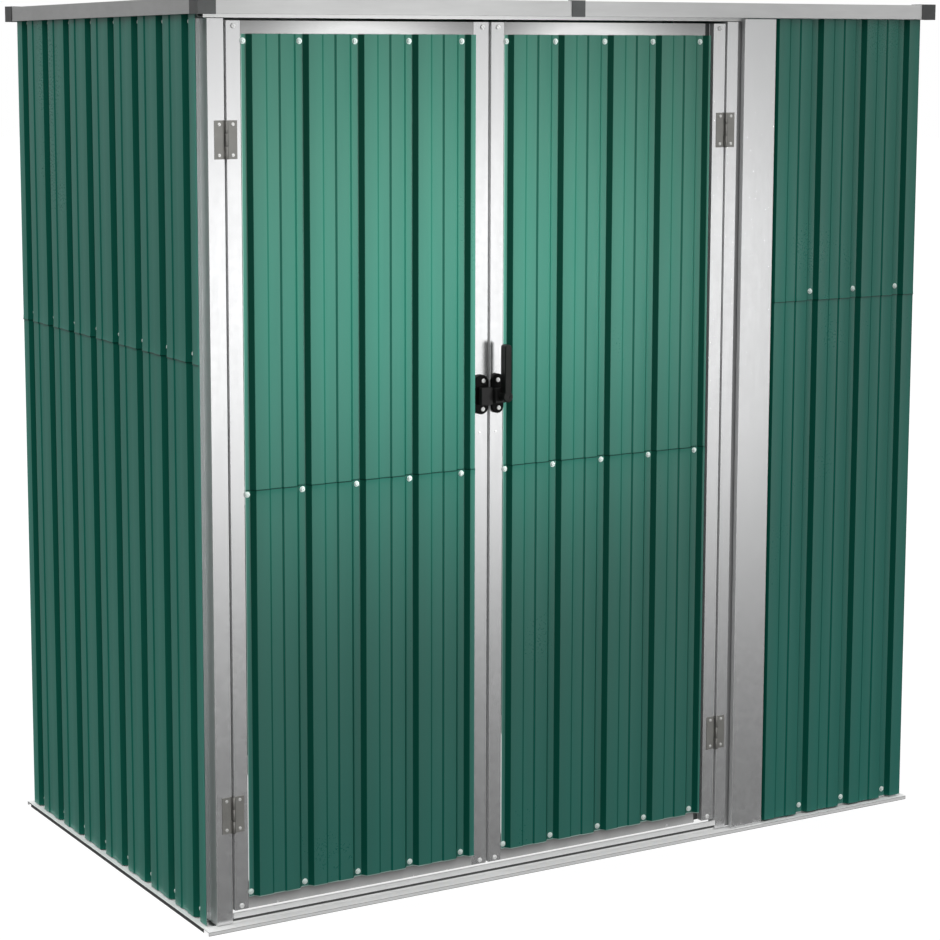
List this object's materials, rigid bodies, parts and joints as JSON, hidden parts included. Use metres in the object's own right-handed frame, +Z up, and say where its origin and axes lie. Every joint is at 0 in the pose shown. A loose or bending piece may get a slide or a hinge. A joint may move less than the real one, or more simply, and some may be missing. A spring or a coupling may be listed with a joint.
{
  "type": "storage shed",
  "caption": "Ribbed sheet metal storage shed with a galvanised frame, low roof with edge trim and outward opening double doors with a latch.",
  "frame": {"origin": "centre of the bounding box at the ground", "axes": "+Z up, +Y from the doors to the back, +X to the right when facing the doors"},
  "size_m": [1.7846, 1.0318, 1.8128],
  "materials": {
    "green_paint": "satin paint on ribbed steel sheet",
    "galvanised_steel": "dull galvanised",
    "trim_steel": "pale grey coated",
    "hinge_steel": "zinc plated",
    "grey_plastic": "moulded",
    "black_plastic": "moulded"
  },
  "bodies": {
    "shed": {"base_rail_front": "galvanised_steel", "base_rail_back": "galvanised_steel", "base_rail_left": "galvanised_steel", "base_rail_right": "galvanised_steel", "corner_post_front_left": "galvanised_steel", "corner_post_front_right": "galvanised_steel", "corner_post_back_left": "galvanised_steel", "corner_post_back_right": "galvanised_steel", "door_post": "galvanised_steel", "panel_stud": "galvanised_steel", "cover_strip": "galvanised_steel", "head_rail_front": "galvanised_steel", "top_rails": "galvanised_steel", "mid_rails": "galvanised_steel", "wall_left_lower": "green_paint", "wall_left_upper": "green_paint", "wall_right_lower": "green_paint", "wall_right_upper": "green_paint", "wall_back_lower": "green_paint", "wall_back_upper": "green_paint", "front_panel_lower": "green_paint", "front_panel_upper": "green_paint", "roof_sheet_left": "green_paint", "roof_sheet_right": "green_paint", "roof_joint_strip": "trim_steel", "roof_trim_front_left": "trim_steel", "roof_trim_front_right": "trim_steel", "roof_trim_back": "trim_steel", "roof_trim_left": "trim_steel", "roof_trim_right": "trim_steel", "roof_corner_caps": "grey_plastic", "roof_trim_connector": "grey_plastic", "hinge_leaves_left_post": "hinge_steel", "hinge_leaves_right_post": "hinge_steel"},
    "left_door": {"left_door_stiles": "galvanised_steel", "left_door_rails": "galvanised_steel", "left_door_sheet_lower": "green_paint", "left_door_sheet_upper": "green_paint", "left_door_hinge_leaves": "hinge_steel", "left_latch_half": "black_plastic"},
    "right_door": {"right_door_stiles": "galvanised_steel", "right_door_rails": "galvanised_steel", "right_door_sheet_lower": "green_paint", "right_door_sheet_upper": "green_paint", "right_door_hinge_leaves": "hinge_steel", "right_latch_half": "black_plastic"},
    "latch_lever": {"latch_lever": "black_plastic"}
  },
  "joints": [
    {"name": "left_door_hinge", "type": "hinge", "parent": "shed", "child": "left_door", "pos_m": [-0.8265, -0.4749, 0.9], "axis": [0, 0, 1], "range_deg": [-110, 0]},
    {"name": "right_door_hinge", "type": "hinge", "parent": "shed", "child": "right_door", "pos_m": [0.3382, -0.4749, 0.9], "axis": [0, 0, 1], "range_deg": [0, 110]},
    {"name": "latch_lever_turn", "type": "hinge", "parent": "right_door", "child": "latch_lever", "pos_m": [-0.2255, -0.5069, 1.018], "axis": [0, 1, 0], "range_deg": [0, 90]}
  ]
}
